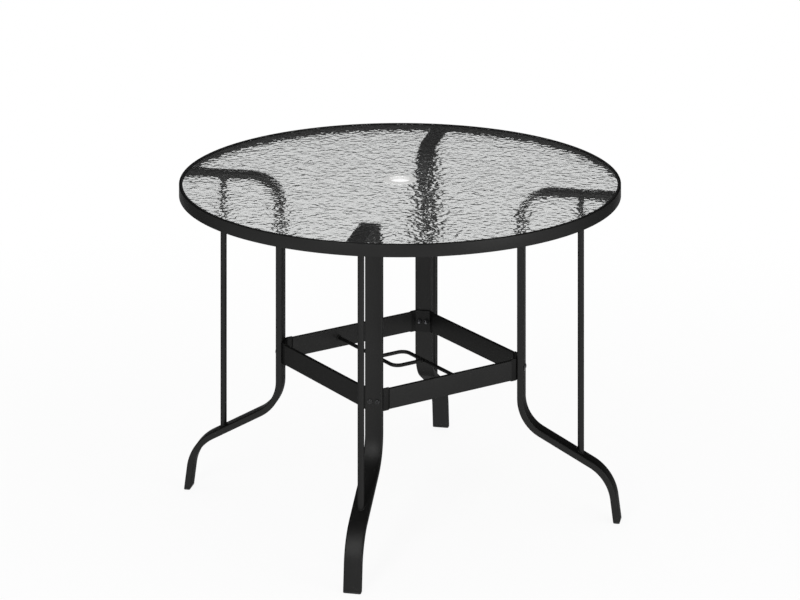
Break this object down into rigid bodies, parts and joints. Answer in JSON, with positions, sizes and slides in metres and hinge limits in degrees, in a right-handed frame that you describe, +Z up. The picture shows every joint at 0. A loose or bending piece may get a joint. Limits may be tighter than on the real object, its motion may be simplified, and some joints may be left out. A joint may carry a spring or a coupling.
{
  "type": "umbrella table",
  "caption": "Round patio dining table with a textured glass top in a black steel rim, bent flat tube legs with struts, and a central umbrella hole with a wire pole guide.",
  "frame": {"origin": "on the floor under the middle of the table", "axes": "+Z up; the legs stand on the diagonals, and the stretchers run along X and Y; -Y is called front"},
  "size_m": [0.9642, 0.9642, 0.7105],
  "materials": {
    "frame_steel": "satin black powder coat",
    "fastener_steel": "black zinc",
    "textured_glass": "clear, smooth above and rippled below",
    "gasket_rubber": "matt black",
    "ring_plastic": "milky white, satin",
    "foot_plastic": "matt black"
  },
  "bodies": {
    "frame": {"rim": "frame_steel", "leg_front_right": "frame_steel", "foot_cap_front_right": "foot_plastic", "strut_front_right": "frame_steel", "corner_bracket_front_right": "frame_steel", "rim_tab_front_right": "frame_steel", "tab_screw_front_right": "fastener_steel", "leg_bolt_front_right_1": "fastener_steel", "leg_bolt_front_right_2": "fastener_steel", "cap_nut_front_right_1": "fastener_steel", "cap_nut_front_right_2": "fastener_steel", "leg_back_right": "frame_steel", "foot_cap_back_right": "foot_plastic", "strut_back_right": "frame_steel", "corner_bracket_back_right": "frame_steel", "rim_tab_back_right": "frame_steel", "tab_screw_back_right": "fastener_steel", "leg_bolt_back_right_1": "fastener_steel", "leg_bolt_back_right_2": "fastener_steel", "cap_nut_back_right_1": "fastener_steel", "cap_nut_back_right_2": "fastener_steel", "leg_back_left": "frame_steel", "foot_cap_back_left": "foot_plastic", "strut_back_left": "frame_steel", "corner_bracket_back_left": "frame_steel", "rim_tab_back_left": "frame_steel", "tab_screw_back_left": "fastener_steel", "leg_bolt_back_left_1": "fastener_steel", "leg_bolt_back_left_2": "fastener_steel", "cap_nut_back_left_1": "fastener_steel", "cap_nut_back_left_2": "fastener_steel", "leg_front_left": "frame_steel", "foot_cap_front_left": "foot_plastic", "strut_front_left": "frame_steel", "corner_bracket_front_left": "frame_steel", "rim_tab_front_left": "frame_steel", "tab_screw_front_left": "fastener_steel", "leg_bolt_front_left_1": "fastener_steel", "leg_bolt_front_left_2": "fastener_steel", "cap_nut_front_left_1": "fastener_steel", "cap_nut_front_left_2": "fastener_steel", "stretcher_front": "frame_steel", "stretcher_right": "frame_steel", "stretcher_back": "frame_steel", "stretcher_left": "frame_steel", "guide_rod_back": "frame_steel", "guide_rod_front": "frame_steel"},
    "glass": {"glass_top": "textured_glass", "glass_gasket": "gasket_rubber"},
    "ring": {"umbrella_ring": "ring_plastic"}
  },
  "joints": [
    {"name": "glass_lift", "type": "slide", "parent": "frame", "child": "glass", "axis": [0, 0, 1], "range_m": [0, 0.08]},
    {"name": "umbrella_ring_lift", "type": "slide", "parent": "glass", "child": "ring", "axis": [0, 0, 1], "range_m": [0, 0.05]}
  ]
}
